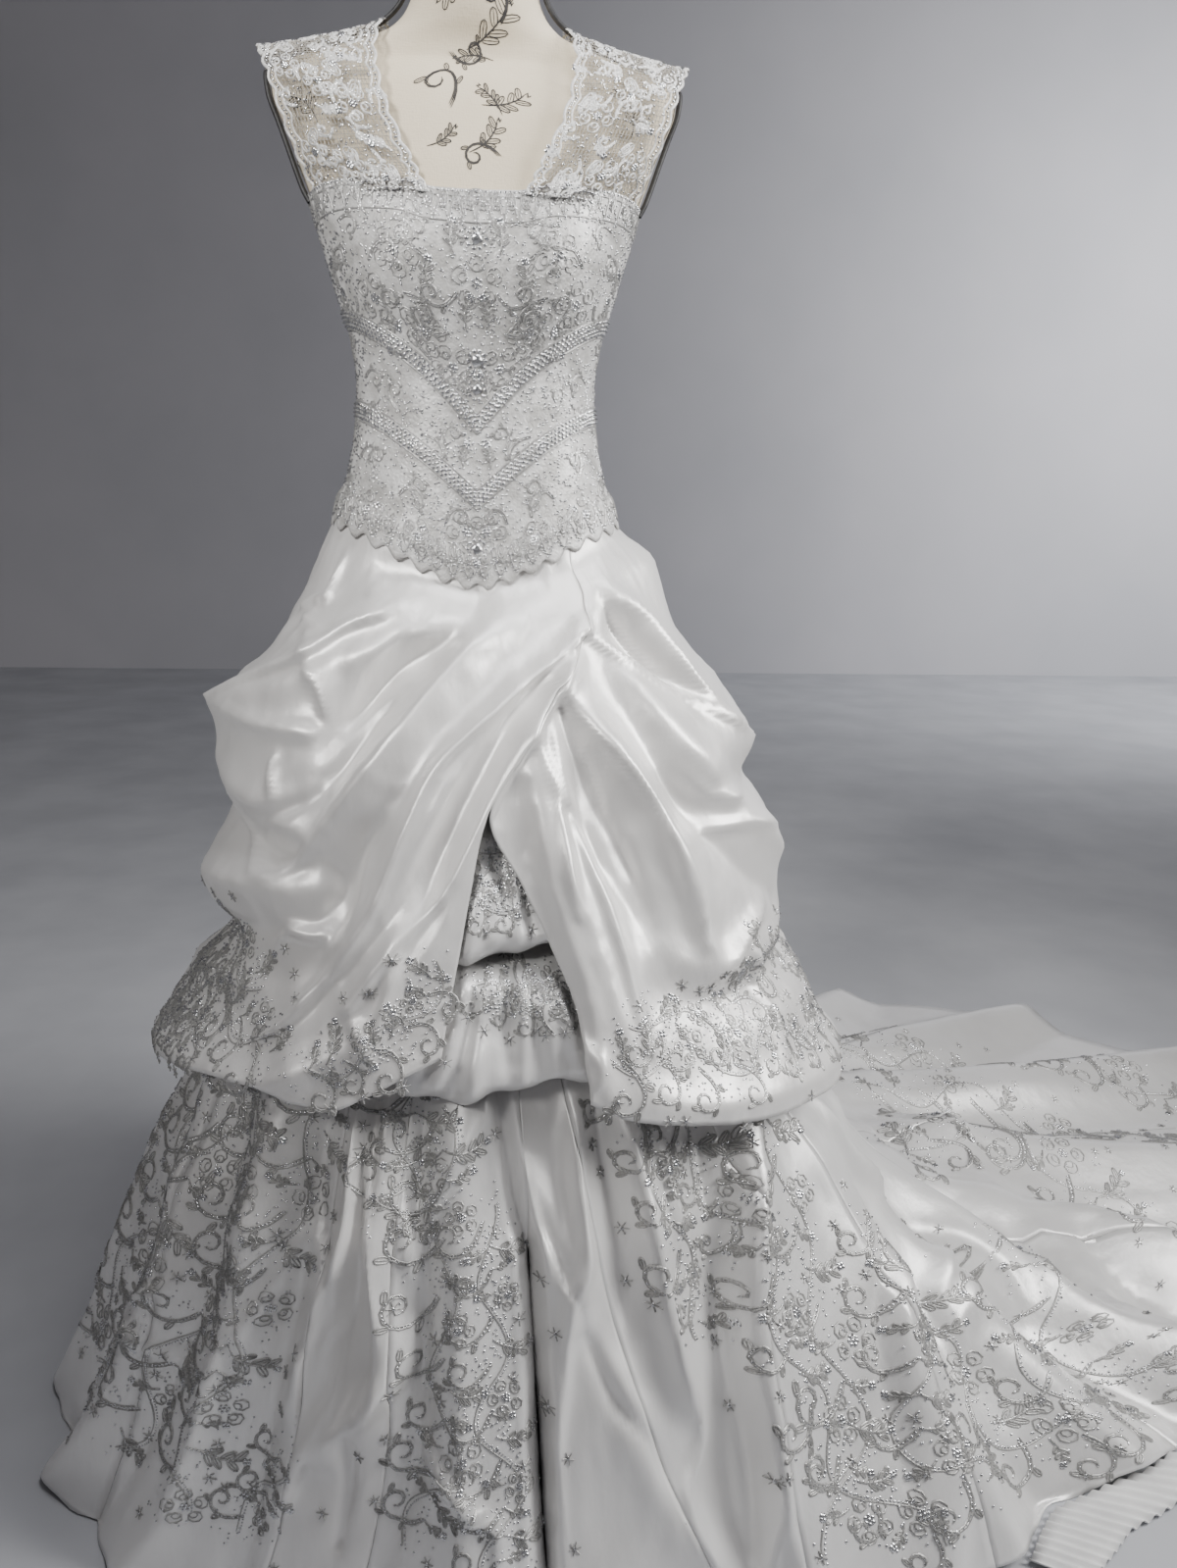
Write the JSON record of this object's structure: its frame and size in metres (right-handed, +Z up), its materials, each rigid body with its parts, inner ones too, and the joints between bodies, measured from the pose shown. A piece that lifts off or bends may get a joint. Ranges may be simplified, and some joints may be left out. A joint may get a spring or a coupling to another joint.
{
  "type": "mermaid wedding dress on dress form",
  "caption": "White satin wedding dress with a fitted beaded bodice, lace cap straps, picked-up overskirt and long train, standing on a limbless dress form.",
  "frame": {"origin": "Floor under the dress form's axis, at the centre of the stand's underside.", "axes": "Z up along the form's axis. The dress faces -Y. The train lies on the floor towards +X."},
  "size_m": [1.9144, 1.3655, 1.506],
  "materials": {
    "ivory_satin": "lustrous satin, plain",
    "overskirt_satin": "lustrous satin with silver beaded embroidery",
    "embroidered_satin": "lustrous satin with silver beaded embroidery",
    "beaded_bodice": "satin and net, densely beaded",
    "cord_lace": "corded and beaded lace",
    "lining": "matt pleated lining",
    "form_linen": "plain linen cover",
    "dark_wood": "dark satin varnish",
    "black_enamel": "black enamel",
    "zip_tape": "matt tape with a painted slider"
  },
  "bodies": {
    "root": {"back_zip": "zip_tape", "bodice_back_left": "beaded_bodice", "bodice_back_right": "beaded_bodice", "bodice_front": "beaded_bodice", "form_base": "black_enamel", "form_neck_cap": "dark_wood", "form_pole": "black_enamel", "form_torso": "form_linen", "godet_front": "ivory_satin", "godet_left": "ivory_satin", "lining_hem": "lining", "pickup_lower": "embroidered_satin", "pickup_upper": "embroidered_satin", "skirt_back": "embroidered_satin", "skirt_back_left": "embroidered_satin", "skirt_front": "embroidered_satin", "skirt_front_left": "embroidered_satin", "skirt_front_right": "embroidered_satin", "skirt_left": "embroidered_satin", "skirt_side_left": "embroidered_satin", "skirt_side_right": "embroidered_satin", "strap_left": "cord_lace", "strap_right": "cord_lace", "swag_back_left": "overskirt_satin", "swag_back_right": "overskirt_satin", "swag_left": "overskirt_satin", "swag_right": "overskirt_satin", "train_back": "embroidered_satin", "train_far": "embroidered_satin", "train_middle": "embroidered_satin", "train_near": "embroidered_satin", "train_near_middle": "embroidered_satin"}
  },
  "joints": []
}
